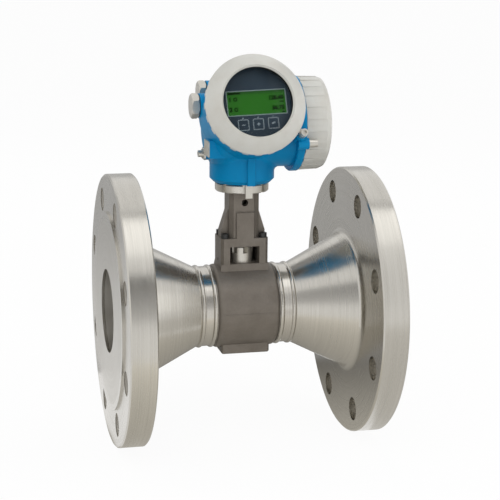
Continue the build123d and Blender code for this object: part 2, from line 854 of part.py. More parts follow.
def ground_clamp():
    """The square clamping plate and the washer of the ground terminal."""
    plate = Box(ground_plate_size, ground_plate_size, ground_plate_thickness, align=BASE)
    plate = chamfer(plate.edges().filter_by(Axis.Z), ground_plate_thickness)
    top = ground_plate_thickness + ground_washer_thickness
    plate += drum(ground_washer_diameter, ground_plate_thickness, top)
    plate -= drum(ground_screw_diameter + 2 * seat_clearance, 0, top)
    return on_body * ground_place() * plate


def ground_screw():
    """The screw of the ground terminal."""
    seat = ground_plate_thickness + ground_washer_thickness
    length = seat + ground_screw_engagement - 1
    screw = socket_screw(ground_screw_diameter, ground_head_diameter, ground_head_height, length)
    return on_body * ground_place() * Pos(0, 0, seat) * screw


def plate_place():
    """The middle of the name plate's pad, Z pointing out to the left."""
    return Pos(plate_pad_face, plate_y, plate_height) * Rot(0, -90, 0)


def rivet_spots():
    """The two rivets' places on the plate, front and back."""
    reach = plate_length / 2 - rivet_head
    return [Pos(0, y, 0) for y in (-reach, reach)]


def name_plate():
    """The bare plate on the left end of the head."""
    plate = Box(plate_width, plate_length, plate_thickness, align=BASE)
    plate = fillet(plate.edges().filter_by(Axis.Z), plate_thickness)
    for spot in rivet_spots():
        plate -= spot * drum(rivet_diameter + seat_clearance, 0, plate_thickness)
    return on_body * plate_place() * plate


def plate_rivets():
    """The two drive rivets of the plate."""
    rivet = drum(rivet_diameter, 0, plate_thickness)
    rivet += drum(rivet_head, plate_thickness, plate_thickness + rivet_proud)
    return on_body * plate_place() * Compound(children=[spot * rivet for spot in rivet_spots()])


def claw(reach, height):
    """A cover claw on Z: a round boss whose nose points towards -X and keeps to one radius."""
    nose = Box(reach, clamp_claw_width, height, align=(Align.MAX, Align.CENTER, Align.MIN))
    piece = drum(clamp_diameter, 0, height) + (nose & drum(2 * reach, 0, height))
    return piece - drum(clamp_screw_diameter + 2 * seat_clearance, 0, height)


def display_cover_clamp():
    """The claw that locks the display cover, standing beside its gripped side."""
    reach = display_clamp_radius - display_cover_diameter / 2 - clamp_clearance
    turned_claw = Rot(0, 0, display_clamp_angle) * claw(reach, clamp_height)
    return on_body * display_clamp_place() * turned_claw


def display_clamp_screw():
    """The socket screw of the display cover's clamp."""
    length = clamp_height + clamp_screw_engagement - 1
    screw = socket_screw(clamp_screw_diameter - weld_gap, clamp_screw_head, clamp_screw_head_height, length)
    return on_body * display_clamp_place() * Pos(0, 0, clamp_height) * screw


def terminal_cover_clamp():
    """The claw that locks the terminal cover."""
    reach = terminal_clamp_radius - terminal_cover_diameter / 2 - clamp_clearance
    return on_body * terminal_clamp_place() * claw(reach, terminal_clamp_height)


def terminal_clamp_screw():
    """The socket screw of the terminal cover's clamp."""
    length = terminal_clamp_height + clamp_screw_engagement - 1
    screw = socket_screw(clamp_screw_diameter - weld_gap, clamp_screw_head, clamp_screw_head_height, length)
    return on_body * terminal_clamp_place() * Pos(0, 0, terminal_clamp_height) * screw


def swivel_set_screw():
    """The grub screw at the back of the head that stops it turning on the spigot."""
    inner = spigot_diameter / 2 + 2 * swivel_clearance
    outer = base_diameter / 2 - set_screw_recess
    screw = drum(set_screw_diameter, inner, outer)
    screw -= hexagon(set_screw_diameter * hex_socket_share, outer - set_screw_diameter / 2, outer)
    return on_body * Pos(0, 0, base_bottom + set_screw_offset) * Rot(-90, 0, 0) * screw


def outlet(inlet_piece):
    """The outlet's copy of an inlet piece, mirrored across the middle of the run."""
    return mirror(inlet_piece, Plane.YZ.offset(middle))


inlet_flange = weld_neck_flange()
inlet_weld_ring = weld_ring()

nodes = {
    "inlet_flange": inlet_flange,
    "outlet_flange": outlet(inlet_flange),
    "inlet_weld_ring": inlet_weld_ring,
    "outlet_weld_ring": outlet(inlet_weld_ring),
    "meter_body": meter_body(),
    "shedder_bar": shedder_bar(),
    "vortex_sensor": vortex_sensor(),
    "sensor_gasket": sensor_gasket(),
    "sensor_lock_nut": sensor_lock_nut(),
    "sensor_lead": sensor_lead(),
    "neck_support": neck_support(),
    "neck_screws": neck_screws(),
    "swivel_seal": swivel_seal(),
    "swivel_nut": swivel_nut(),
    "transmitter_housing": transmitter_housing(),
    "swivel_tab": swivel_tab(),
    "swivel_set_screw": swivel_set_screw(),
    "display_cover_oring": display_cover_oring(),
    "terminal_cover_oring": terminal_cover_oring(),
    "electronics_module": electronics_module(),
    "display_case": display_case(),
    "lcd_panel": lcd_panel(),
    "display_faceplate": display_faceplate(),
    "display_cover": display_cover(),
    "cover_window": cover_window(),
    "window_seal": window_seal(),
    "window_ring": window_ring(),
    "terminal_cover": terminal_cover(),
    "terminal_board": terminal_board(),
    "terminal_block": terminal_block(),
    "terminal_screws": terminal_screws(),
    "lower_cable_plug": lower_cable_plug(),
    "upper_cable_plug": upper_cable_plug(),
    "plug_seals": plug_seals(),
    "ground_clamp": ground_clamp(),
    "ground_screw": ground_screw(),
    "name_plate": name_plate(),
    "plate_rivets": plate_rivets(),
    "display_cover_clamp": display_cover_clamp(),
    "display_clamp_screw": display_clamp_screw(),
    "terminal_cover_clamp": terminal_cover_clamp(),
    "terminal_clamp_screw": terminal_clamp_screw(),
}

os.makedirs("parts", exist_ok=True)
for name, piece in nodes.items():
    export_step(piece, "parts/" + name + ".step")
    print(name, len(piece.solids()), "solid(s)", round(piece.volume / 1000, 2), "cm3")
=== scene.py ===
# %% [markdown]
# A vortex flow meter measures the flow in a pipe by counting the eddies that a bar sheds across
# the stream. The construction comes ready made: every piece already has its true size and place in
# one shared frame. What is left for this lesson is how the thing looks: turned steel, a sand-cast
# body, powder coating, glass and a lit display. We start by loading the frame and asking how big
# the object is.

# %% Load the construction
import json
from math import cos, pi, radians, sin

import bpy
from mathutils import Matrix, Vector


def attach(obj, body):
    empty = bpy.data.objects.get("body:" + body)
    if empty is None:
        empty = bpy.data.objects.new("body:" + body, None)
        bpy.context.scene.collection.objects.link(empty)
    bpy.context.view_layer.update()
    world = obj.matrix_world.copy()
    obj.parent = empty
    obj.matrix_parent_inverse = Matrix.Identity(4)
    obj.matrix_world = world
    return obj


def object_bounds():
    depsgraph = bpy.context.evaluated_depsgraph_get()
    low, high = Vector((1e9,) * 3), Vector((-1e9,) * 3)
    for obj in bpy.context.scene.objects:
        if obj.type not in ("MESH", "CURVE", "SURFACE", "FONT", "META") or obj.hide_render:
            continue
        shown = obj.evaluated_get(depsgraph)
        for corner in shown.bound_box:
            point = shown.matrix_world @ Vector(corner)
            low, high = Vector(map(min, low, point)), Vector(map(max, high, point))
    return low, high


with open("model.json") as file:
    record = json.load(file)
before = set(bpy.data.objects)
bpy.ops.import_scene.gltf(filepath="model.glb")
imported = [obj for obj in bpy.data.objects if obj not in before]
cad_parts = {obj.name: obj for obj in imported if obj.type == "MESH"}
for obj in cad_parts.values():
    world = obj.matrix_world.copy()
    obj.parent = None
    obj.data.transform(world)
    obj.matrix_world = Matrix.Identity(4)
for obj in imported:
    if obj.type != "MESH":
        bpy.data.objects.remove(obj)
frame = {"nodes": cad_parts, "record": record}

MM = 0.001
cad_low, cad_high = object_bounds()
middle = (cad_low + cad_high) / 2
print("size in mm", [round((b - a) / MM) for a, b in zip(cad_low, cad_high)])

# %% [markdown]
# The camera stands where the photographer stood: a little to the left of the meter and a little
# above it. A long lens keeps the two flanges almost the same size. The three angles turn the
# camera, and the matrix is built from them because an angle in a plain formula is easier to check
# than a rotation typed in by hand.

# %% Camera
camera_place = Vector((-218.3, -1586.45, 425.56)) * MM
camera_yaw = radians(-13.414)
camera_pitch = radians(12.586)
camera_roll = radians(0.502)
camera_lens = 108.24


def camera_turn(yaw, pitch, roll):
    """The camera's own right, up and back directions, as the columns of a matrix."""
    back = Vector((sin(yaw) * cos(pitch), -cos(yaw) * cos(pitch), sin(pitch)))
    level = Vector((cos(yaw), sin(yaw), 0))
    upright = back.cross(level)
    right = cos(roll) * level + sin(roll) * upright
    up = cos(roll) * upright - sin(roll) * level
    return Matrix((right, up, back)).transposed()


camera_data = bpy.data.cameras.new("camera")
camera_data.lens = camera_lens
camera = bpy.data.objects.new("camera", camera_data)
bpy.context.scene.collection.objects.link(camera)
camera_axes = camera_turn(camera_yaw, camera_pitch, camera_roll)
camera.matrix_world = Matrix.Translation(camera_place) @ camera_axes.to_4x4()
bpy.context.scene.camera = camera
print("camera", [round(value, 3) for value in camera.location])

# %% [markdown]
# Finishes are made of nodes. Wiring nodes by hand is slow to read, so a small class lets a socket
# take part in ordinary sums: 1 - mask or grain * 0.2 add the Math nodes by themselves. A second
# class holds a node tree and has one method that makes any other node from its settings and its
# sockets' values. The third one is a whole material, and it is kept by name until the end, where
# every piece is given its own.


# %% Nodes as sums
class Value:
    """A number or colour that varies over a surface, ready for ordinary sums."""

    def __init__(self, tree, socket):
        self.tree = tree
        self.socket = socket

    def __add__(self, other):
        return self.tree.maths("ADD", self, other)

    def __rsub__(self, other):
        return self.tree.maths("SUBTRACT", other, self)

    def __mul__(self, other):
        return self.tree.maths("MULTIPLY", self, other)

    def __truediv__(self, other):
        return self.tree.maths("DIVIDE", self, other)

    def __lt__(self, other):
        return self.tree.maths("LESS_THAN", self, other)

    def __gt__(self, other):
        return self.tree.maths("GREATER_THAN", self, other)


class Tree:
    """A node tree that is filled by plain calls."""

    def __init__(self, graph):
        self.graph = graph

    def node(self, kind, settings=(), sockets=(), output=0):
        """A new node: its settings first, then its sockets, then the output that is wanted."""
        made = self.graph.nodes.new(kind)
        for name, setting in dict(settings).items():
            setattr(made, name, setting)
        for name, value in dict(sockets).items():
            self.feed(made.inputs[name], value)
        return Value(self, made.outputs[output])

    def feed(self, socket, value):
        """Links a Value to a socket, or types a plain number or colour into it."""
        if isinstance(value, Value):
            self.graph.links.new(value.socket, socket)
        else:
            socket.default_value = value

    def maths(self, operation, first, second=0.0):
        """One sum, such as ADD or SINE."""
        return self.node("ShaderNodeMath", {"operation": operation}, {0: first, 1: second})

    def vector(self, operation, first, second, output=0):
        """One sum with points or directions."""
        settings = {"operation": operation}
        return self.node("ShaderNodeVectorMath", settings, {0: first, 1: second}, output)

    def dot(self, point, direction):
        """How far a point lies in a direction."""
        return self.vector("DOT_PRODUCT", point, tuple(direction), "Value")

    def join(self, x, y, z):
        """A point from its three coordinates."""
        return self.node("ShaderNodeCombineXYZ", {}, {0: x, 1: y, 2: z})

    def split(self, point):
        """The three coordinates of a point."""
        return [self.node("ShaderNodeSeparateXYZ", {}, {0: point}, axis) for axis in "XYZ"]

    def mix(self, share, first, second):
        """A colour between two, each a Value or three numbers."""
        first, second = (c if isinstance(c, Value) else (*c, 1) for c in (first, second))
        colours = {0: share, 6: first, 7: second}
        return self.node("ShaderNodeMix", {"data_type": "RGBA"}, colours, 2)

    def spread(self, value, low, high, to_low=0.0, to_high=1.0):
        """A value stretched from one range to another, held at both ends."""
        ranges = {0: value, 1: low, 2: high, 3: to_low, 4: to_high}
        return self.node("ShaderNodeMapRange", {}, ranges)

    def even(self, noise, to_low=0.0, to_high=1.0):
        """A noise, which seldom leaves its middle, stretched over a whole range."""
        return self.spread(noise, noise_low, noise_high, to_low, to_high)

    def place(self):
        """Each point's place in the object's own coordinates, in metres."""
        return self.node("ShaderNodeTexCoord", output="Object")

    def noise(self, size, detail=2.0, roughness=0.5):
        """Soft noise whose blobs are about size metres across."""
        sockets = {"Scale": 1 / size, "Detail": detail, "Roughness": roughness}
        return self.node("ShaderNodeTexNoise", {}, {"Vector": self.place(), **sockets})

    def bump(self, height, depth, strength=1.0):
        """A normal from a height of 0 to 1 that stands for a depth in metres."""
        sockets = {"Strength": strength, "Distance": depth, "Height": height}
        return self.node("ShaderNodeBump", {}, sockets)


noise_low = 0.3
noise_high = 0.7
finishes = {}


class Finish(Tree):
    """A material with one Principled shader, kept by its name in finishes."""

    def __init__(self, name):
        self.material = bpy.data.materials.new(name)
        self.material.use_nodes = True
        super().__init__(self.material.node_tree)
        self.shader = self.graph.nodes["Principled BSDF"]
        finishes[name] = self.material

    def set(self, **looks):
        """Sets the shader's sockets: base_color for Base Color and so on."""
        names = {"ior": "IOR", "specular_ior_level": "Specular IOR Level"}
        for name, value in looks.items():
            socket = self.shader.inputs[names.get(name, name.replace("_", " ").title())]
            if isinstance(value, tuple):
                value = (*value, 1)
            self.feed(socket, value)

    def blend(self, share, other):
        """Lets another shader take over a share of the surface."""
        own = Value(self, self.shader.outputs[0])
        both = self.node("ShaderNodeMixShader", {}, {0: share, 1: own, 2: other})
        self.feed(self.graph.nodes["Material Output"].inputs["Surface"], both)


print("node helpers ready")

# %% [markdown]
# The studio is plain: a pale floor under the flanges and white all round. Light Path tells the
# world and the floor when the camera or a reflection looks at them, so the background is white
# without more light on the object. The floor keeps part of its true shade, and with it a soft
# shadow.

# %% Floor and world
white = (1, 1, 1, 1)
floor_size = 30.0
floor_cells = 8
floor_share = 0.94
world_strength = 0.66


def start_plain():
    """Nothing selected, so that the next operator acts on the new piece alone."""
    if bpy.context.object and bpy.context.object.mode != "OBJECT":
        bpy.ops.object.mode_set(mode="OBJECT")
    bpy.ops.object.select_all(action="DESELECT")


def seen_directly(tree):
    """1 for the camera, for reflections and for what is seen through glass, else 0."""
    by_camera, in_gloss, through_glass = (
        tree.node("ShaderNodeLightPath", output=f"Is {ray} Ray")
        for ray in ("Camera", "Glossy", "Transmission")
    )
    return tree.maths("MAXIMUM", tree.maths("MAXIMUM", by_camera, in_gloss), through_glass)


start_plain()
bpy.ops.mesh.primitive_grid_add(
    x_subdivisions=floor_cells,
    y_subdivisions=floor_cells,
    size=floor_size,
    location=(middle.x, 0, cad_low.z),
)
floor = bpy.context.object
floor.name = "floor"
floor_finish = Finish("pale_floor")
floor_finish.set(base_color=(0.9, 0.9, 0.9), roughness=0.9)
glow = floor_finish.node("ShaderNodeEmission", {}, {"Color": white, "Strength": 1.0})
floor_finish.blend(seen_directly(floor_finish) * floor_share, glow)
floor.data.materials.append(floor_finish.material)

world = bpy.data.worlds.new("white_studio")
bpy.context.scene.world = world
world.use_nodes = True
world_tree = Tree(world.node_tree)
world_light = seen_directly(world_tree) * (1 - world_strength) + world_strength
sky = world_tree.node("ShaderNodeBackground", {}, {"Color": white, "Strength": world_light})
world_tree.feed(world.node_tree.nodes["World Output"].inputs["Surface"], sky)
bpy.context.scene.view_settings.view_transform = "Standard"
print("floor at", round(cad_low.z, 3))

# %% [markdown]
# Three large soft lamps light the object. They stay out of reflections, where they would burn out
# the polished cones. What the steel mirrors is set by cards instead, as in a real studio, because
# bright steel needs something dark to reflect or it looks like plaster. Each card fades from one
# shade to another: a dark one high in front, one dark wing over each side, a bright one overhead
# with a thin dark edge, and grey ones behind and on the floor, which the flat faces of the flanges
# mirror. All of them stand outside the picture, and only reflections see them.

# %% Lamps and cards

# Each row: a name, a place in metres, the size of the square lamp and its power in watts.
lamps = (
    ("key_lamp", (-0.7, -1.3, 1.7), 2.0, 17),
    ("side_lamp", (1.7, -0.7, 0.9), 1.5, 10),
    ("back_lamp", (0.3, 1.6, 1.3), 1.6, 6),
)
for name, place, size, power in lamps:
    lamp_data = bpy.data.lights.new(name, "AREA")
    lamp_data.size = size
    lamp_data.energy = power
    lamp = bpy.data.objects.new(name, lamp_data)
    bpy.context.scene.collection.objects.link(lamp)
    lamp.location = place
    lamp.rotation_mode = "QUATERNION"
    lamp.rotation_quaternion = (Vector(place) - middle).to_track_quat("Z", "Y")
    lamp.visible_glossy = False


def card(name, near_edge, far_edge, near_shade, far_shade):
    """A card through the points of its two edges, shaded from the near one to the far one."""
    start_plain()
    stations = len(near_edge)
    bpy.ops.mesh.primitive_grid_add(x_subdivisions=stations - 1, y_subdivisions=1, size=1)
    piece = bpy.context.object
    piece.name = name
    for vertex in piece.data.vertices:
        station = round((vertex.co.x + 0.5) * (stations - 1))
        edge = near_edge if vertex.co.y < 0 else far_edge
        vertex.co = edge[station]
    near, far = (sum(map(Vector, edge), Vector()) / stations for edge in (near_edge, far_edge))
    slope = (far - near).normalized()
    look = Finish(name)
    along = look.dot(look.place(), slope)
    share = look.spread(along, near.dot(slope), far.dot(slope))
    look.set(
        base_color=(0.0, 0.0, 0.0),
        specular_ior_level=0.0,
        emission_color=look.mix(share, near_shade, far_shade),
        emission_strength=1.0,
    )
    piece.data.materials.append(look.material)
    for ray in ("camera", "diffuse", "shadow"):
        setattr(piece, "visible_" + ray, False)


def seen_towards(distance, directions):
    """Points at one distance from the object, in the given directions."""
    return [middle + Vector(direction).normalized() * distance for direction in directions]


def on_floor(left, right, near, far):
    """The near and the far edge of a card that lies on the floor."""
    return [[(x, y, card_height) for x in (left, right)] for y in (near, far)]


def grey(level, warmth=0.0):
    """A neutral grey, or a warmer one that holds less blue and a little less green."""
    return (level, level * (1 - warmth * 0.3), level * (1 - warmth))


dark_blue = (0.015, 0.018, 0.03)
floor_warmth = 0.12
card_height = cad_low.z + 2 * MM
overhead_seam = ((-0.12, 0.05, 0.99), (0.25, 0.05, 0.99), (0.50, 0.05, 0.99))

# Each row: a name, a distance, the directions of the near and the far edge, and their shades.
standing_cards = (
    (
        "front_card",
        3.0,
        ((-1.0, -1.0, 0.05), (-0.3, -1.0, 0.02), (0.29, -1.0, 0.05)),
        ((-1.0, -1.0, 1.00), (-0.3, -1.0, 0.86), (0.30, -1.0, 0.84)),
        grey(0.72),
        grey(0.10),
    ),
    (
        "left_wing",
        2.4,
        ((-0.90, -0.05, 0.60), (-0.51, 0.05, 0.85), (-0.20, 0.10, 0.97)),
        ((-0.60, 0.60, 0.45), (-0.25, 0.71, 0.65), (-0.05, 0.70, 0.70)),
        grey(0.75),
        grey(0.18),
    ),
    (
        "right_wing",
        2.4,
        ((0.62, 0.05, 0.76), (0.80, 0.05, 0.58), (1.00, 0.10, 0.36)),
        ((0.50, 0.66, 0.56), (0.61, 0.66, 0.43), (0.80, 0.66, 0.25)),
        grey(0.15),
        dark_blue,
    ),
    (
        "overhead_card",
        2.0,
        ((-0.12, -0.55, 0.83), (0.25, -0.55, 0.83), (0.50, -0.55, 0.83)),
        overhead_seam,
        grey(1.4),
        grey(1.7),
    ),
    (
        "overhead_edge",
        2.0,
        overhead_seam,
        ((-0.12, 0.16, 0.98), (0.25, 0.16, 0.98), (0.50, 0.16, 0.98)),
        grey(0.15),
        grey(0.30),
    ),
    (
        "side_card",
        2.6,
        ((0.97, -0.25, 0.0), (0.75, -0.66, 0.0)),
        ((0.90, -0.20, 0.42), (0.72, -0.55, 0.42)),
        grey(1.3),
        grey(1.3),
    ),
    (
        "upright_card",
        3.5,
        ((-1.0, 1.0, -0.06), (-0.25, 1.0, -0.05), (0.45, 1.0, -0.06)),
        ((-1.0, 1.0, 0.40), (-0.25, 1.0, 0.35), (0.45, 1.0, 0.40)),
        grey(0.55),
        grey(0.55),
    ),
)
for name, distance, near_edge, far_edge, *shades in standing_cards:
    card(name, seen_towards(distance, near_edge), seen_towards(distance, far_edge), *shades)

# Each row: a name, the left, right, near and far sides in metres, and the two shades.
floor_cards = (
    ("floor_back_card", (-2.2, 1.4, 1.1, 3.4), grey(0.48), grey(0.55)),
    ("floor_left_card", (-1.4, -0.03, 0.1, 1.1), grey(0.98), grey(0.48)),
    ("floor_right_card", (-0.03, 1.3, 0.25, 1.1), grey(0.34), grey(0.46)),
    (
        "floor_side_card",
        (0.29, 1.0, -1.0, 0.25),
        grey(0.84, floor_warmth / 2),
        grey(0.64, floor_warmth / 2),
    ),
    # This card is a painted shadow: dark under the object, it stands for the object's shadow on the
    # floor as the steel mirrors it.
    ("under_card", (0.0, 0.27, -0.38, 0.25), grey(1.0, floor_warmth), grey(0.16, floor_warmth)),
)
for name, sides, *shades in floor_cards:
    card(name, *on_floor(*sides), *shades)
print(len(lamps), "lamps and", len(standing_cards) + len(floor_cards), "cards")

# %% [markdown]
# Turned steel is never plain. The lathe leaves rings round the pipe's axis, so the pattern reads
# two numbers at each point: how far along the axis it is and how far out. Stretching a noise over
# those two, with only a little change round the circle, gives rings of slightly different gloss,
# as on a real flange. The two sealing faces have the fine spiral groove that grips a gasket, and
# the weld beads have the ripples of the torch. Holes are bored and not turned, so their walls are
# plainer and more matt: they are every point deep in a flange. Their walls also take the paler
# steel colour, and the bolt holes less metal, which is painted light: it lightens holes that little
# light reaches.

# %% Turned steel
run_length = 300 * MM
face_skin = 0.3 * MM
raised_radius = 102 * MM
raised_face = 3.5 * MM
flange_depth = 22 * MM
rim_radius = 147 * MM
hole_radius = 60 * MM
rings_per_metre = 900
ring_drift = 0.6
ring_share = 0.6
clouds_along = 60
clouds_across = 9
serration_pitch = 0.8 * MM
bead_radius = 44.6 * MM
bead_reach = 1.05
bead_ripples = 96
bead_unevenness = 2
groove_height = 0.5
ring_strength = 0.6
ring_shine = 0.05
ring_matt = 0.07
groove_matt = 0.08
bored_matt = 0.12
painted_hole_light = 0.4


def turned_finish(name, colour, pale, rough, ring_depth, metallic=1.0):
    """Steel turned round the pipe's axis X, with rings of gloss and a fine groove."""
    made = Finish(name)
    x, y, z = made.split(made.place())
    out = made.maths("SQRT", y * y + z * z)
    turn = made.maths("ARCTAN2", z, y)
    from_end = made.maths("MINIMUM", x, run_length - x)

    rings = made.node(
        "ShaderNodeTexNoise",
        {"noise_dimensions": "4D"},
        {
            "Vector": made.join(x * rings_per_metre, y / out * ring_drift, z / out * ring_drift),
            "W": out * rings_per_metre,
            "Scale": 1.0,
            "Detail": 3.0,
            "Roughness": 0.6,
        },
    )
    cloud_place = made.join(x * clouds_along, y * clouds_across, z * clouds_across)
    cloud_sockets = {"Vector": cloud_place, "Scale": 1.0, "Detail": 4.0}
    clouds = made.node("ShaderNodeTexNoise", {}, cloud_sockets)
    tone = made.even(rings) * ring_share + made.even(clouds) * (1 - ring_share)

    sealing = (from_end < face_skin) * (out < raised_radius)
    groove = made.maths("SINE", out * (2 * pi / serration_pitch)) * sealing
    bead = (out > bead_radius) * (out < bead_radius * bead_reach)
    ripple = made.maths("SINE", turn * bead_ripples + rings * bead_unevenness) * bead
    # The bored walls take the paler colour and, in the bolt holes, less metal: painted light that
    # lightens holes which little light reaches.
    bored = (from_end > raised_face) * (from_end < flange_depth) * (out < rim_radius)
    height = (rings + groove * groove_height + ripple * groove_height) * (1 - bored)
    matt = sealing * groove_matt + bored * bored_matt
    made.set(
        metallic=metallic - bored * (out > hole_radius) * painted_hole_light,
        base_color=made.mix(bored, made.mix(tone, colour, pale), pale),
        roughness=made.spread(tone, 0, 1, rough + ring_matt, rough - ring_shine) + matt,
        normal=made.bump(height, ring_depth, ring_strength),
    )


# Each row: a name, the darker and the paler colour, the roughness, the depth of the rings and, for
# the last one, its metallic share.
turned_finishes = (
    ("turned_steel", (0.51, 0.49, 0.445), (0.61, 0.587, 0.54), 0.24, 0.02 * MM),
    ("weld_steel", (0.50, 0.475, 0.43), (0.62, 0.595, 0.55), 0.20, 0.04 * MM),
    ("bright_steel", (0.57, 0.545, 0.49), (0.67, 0.645, 0.59), 0.30, 0.01 * MM, 0.85),
)
for recipe in turned_finishes:
    turned_finish(*recipe)
print(len(turned_finishes), "turned finishes")

# %% [markdown]
# The body and the neck are sand castings: matt, brownish grey and grainy, a little darker in the
# pits. Three sizes of noise make them, from the slow waviness of the mould to the grains of sand.

# %% Cast steel
cast = Finish("cast_steel")
cast_depth = 0.4 * MM
waves = cast.noise(18 * MM)
lumps = cast.noise(2.6 * MM, detail=3.0)
grains = cast.noise(0.8 * MM)
cast_tone = cast.even(lumps * 0.3 + waves * 0.7)
cast.set(
    metallic=0.6,
    base_color=cast.mix(cast_tone, (0.172, 0.150, 0.126), (0.222, 0.198, 0.170)),
    roughness=cast.even(grains, 0.44, 0.58),
    normal=cast.bump(waves * 0.5 + lumps * 0.3 + grains * 0.2, cast_depth),
)
print("cast finish ready")

# %% [markdown]
# The head has two openings, each with its own axis. The display's axis is tilted back, and the
# display was turned a little by hand when it was fitted, so it has directions of its own: across,
# up and outwards. Its collar's thread and everything printed on it are placed in those directions.

# %% The display's own frame
display_tilt = radians(20)
display_roll = radians(2.2)
display_origin = Vector((150.0, -57.0, 229.85)) * MM
display_out = Vector((0, -cos(display_tilt), sin(display_tilt)))
display_level = Vector((1, 0, 0))
display_upright = display_out.cross(display_level)
display_across = cos(display_roll) * display_level + sin(display_roll) * display_upright
display_up = cos(display_roll) * display_upright - sin(display_roll) * display_level
display_axes = Matrix((display_across, display_up, display_out)).transposed()
display_frame = Matrix.Translation(display_origin) @ display_axes.to_4x4()
terminal_origin = Vector((209.5, 0.0, 202.5)) * MM
print("display looks towards", [round(value, 2) for value in display_out])

# %% [markdown]
# Powder coating melts into a smooth film with a faint orange-peel ripple. One recipe serves the
# blue head and the pale covers. The pale one has a clear coat too, and a trace of handling marks,
# which show on a light colour. The two collars that the covers screw on to are masked before
# coating, so they stay bare metal. Their thread is a wave along the collar's axis that moves on by
# one pitch for each turn round it, which is what a screw thread is.

# %% Powder coatings
peel_size = 1.6 * MM
peel_depth = 0.06 * MM
cloud_size = 22 * MM
smudge_range = (0.42, 0.72)
cloud_shine = 0.04
cloud_matt = 0.06
coat_roughness = 0.12
thread_pitch = 1.5 * MM
thread_depth = 0.9 * MM
peel_beside_thread = 0.07
collar_skin = 0.15 * MM
collar_wall = 6 * MM
bare_metal = (0.42, 0.42, 0.41)
bare_shine = 0.9
display_sides = (display_out, display_level, display_upright)
terminal_sides = ((1, 0, 0), (0, 1, 0), (0, 0, 1))

# Each row: the centre, the axis and two directions across it, the radius, and where it starts and
# ends along the axis.
collars = (
    (display_origin, *display_sides, 46 * MM, -0.4 * MM, 9.6 * MM),
    (terminal_origin, *terminal_sides, 45 * MM, 0.1 * MM, 10.1 * MM),
)


def coated_finish(name, colour, worn, marks, rough, gleam, clear_coat):
    """The film of a powder coating, and its colour with faint clouds of a second one."""
    made = Finish(name)
    cloud = made.noise(cloud_size, detail=4.0, roughness=0.6)
    tint = made.mix(made.spread(cloud, *smudge_range) * marks, colour, worn)
    made.set(
        roughness=made.even(cloud, rough - cloud_shine, rough + cloud_matt),
        specular_ior_level=gleam,
        coat_weight=clear_coat,
        coat_roughness=coat_roughness,
    )
    return made, tint


def thread(made, centre, axis, side, up, radius, start, end):
    """A mask for a threaded collar and the height of its thread, round any axis."""
    away = made.vector("SUBTRACT", made.place(), tuple(centre))
    along, across, upward = (made.dot(away, direction) for direction in (axis, side, up))
    out = made.maths("SQRT", across * across + upward * upward)
    turn = made.maths("ARCTAN2", upward, across)
    wall = (out < radius + collar_skin) * (out > radius - collar_wall)
    mask = (along > start) * (along < end) * wall
    wave = made.maths("SINE", along * (2 * pi / thread_pitch) + turn)
    return mask, (wave * 0.5 + 0.5) * (out > radius - 2 * thread_depth) * mask


pale, pale_tint = coated_finish(
    "pale_coating",
    colour=(0.57, 0.565, 0.525),
    worn=(0.52, 0.50, 0.45),
    marks=0.8,
    rough=0.38,
    gleam=0.3,
    clear_coat=0.35,
)
pale.set(base_color=pale_tint, normal=pale.bump(pale.noise(peel_size), peel_depth))

blue, blue_tint = coated_finish(
    "blue_coating",
    colour=(0.0, 0.235, 0.49),
    worn=(0.0, 0.192, 0.42),
    marks=0.7,
    rough=0.36,
    gleam=0.11,
    clear_coat=0.0,
)
masks, threads = zip(*(thread(blue, *collar) for collar in collars))
bare = masks[0] + masks[1]
collar_height = blue.noise(peel_size) * peel_beside_thread + threads[0] + threads[1]
blue.set(
    base_color=blue.mix(bare, blue_tint, bare_metal),
    metallic=bare * bare_shine,
    normal=blue.bump(collar_height, thread_depth),
)
print("coatings ready, with", len(collars), "bare collars")

# %% [markdown]
# The rest of the finishes are small: rubber, moulded plastics, blackened screws, graphite, the
# satin plate and the two inks. Each is a base colour broken up by a noise of the right grain and a
# bump of the same grain.

# %% Small finishes
grain_swing = 0.05


def grained_finish(name, dark, light, grain, depth, roughness, metallic=0.0, gleam=0.5):
    """A plain material broken up by one grain, whose size and depth are in millimetres."""
    made = Finish(name)
    grain_noise = made.noise(grain * MM, detail=3.0, roughness=0.6)
    made.set(
        metallic=metallic,
        base_color=made.mix(made.even(grain_noise), dark, light),
        roughness=made.even(grain_noise, roughness - grain_swing, roughness + grain_swing),
        specular_ior_level=gleam,
        normal=made.bump(grain_noise, depth * MM),
    )


# Each row: a name, the darker and the paler colour, the grain's size and depth and the roughness.
# Some also have a metallic share, and the ink of the readings has a gleam of its own.
small_finishes = (
    ("dark_screw", (0.035, 0.036, 0.038), (0.075, 0.074, 0.072), 0.8, 0.03, 0.42, 0.8),
    ("seal_rubber", (0.012, 0.012, 0.012), (0.022, 0.022, 0.022), 0.7, 0.03, 0.7),
    ("gasket_graphite", (0.05, 0.05, 0.055), (0.10, 0.10, 0.105), 0.6, 0.02, 0.5),
    ("display_plastic", (0.010, 0.012, 0.014), (0.018, 0.020, 0.023), 0.5, 0.02, 0.5),
    ("electronics_plastic", (0.03, 0.035, 0.04), (0.05, 0.055, 0.06), 0.6, 0.03, 0.5),
    ("terminal_plastic", (0.30, 0.31, 0.30), (0.38, 0.39, 0.38), 0.6, 0.03, 0.5),
    ("board_plastic", (0.012, 0.013, 0.013), (0.024, 0.026, 0.026), 0.6, 0.03, 0.45),
    ("plate_metal", (0.50, 0.48, 0.42), (0.62, 0.60, 0.53), 1.2, 0.01, 0.36, 0.9),
    ("pale_ink", (0.30, 0.35, 0.38), (0.40, 0.45, 0.48), 0.5, 0.004, 0.45),
    ("dark_ink", (0.001, 0.004, 0.001), (0.003, 0.008, 0.002), 0.5, 0.004, 0.6, 0.0, 0.02),
)
for recipe in small_finishes:
    grained_finish(*recipe)
print(len(small_finishes), "small finishes")

# %% [markdown]
# The window is real glass with two faces. Real glass bends every ray twice, which a short render
# turns into grain, and it blocks the lamps from what lies behind it. So most of the light is let
# straight through, all of it for shadow rays, and a small share is left to the true glass for its
# gleam.

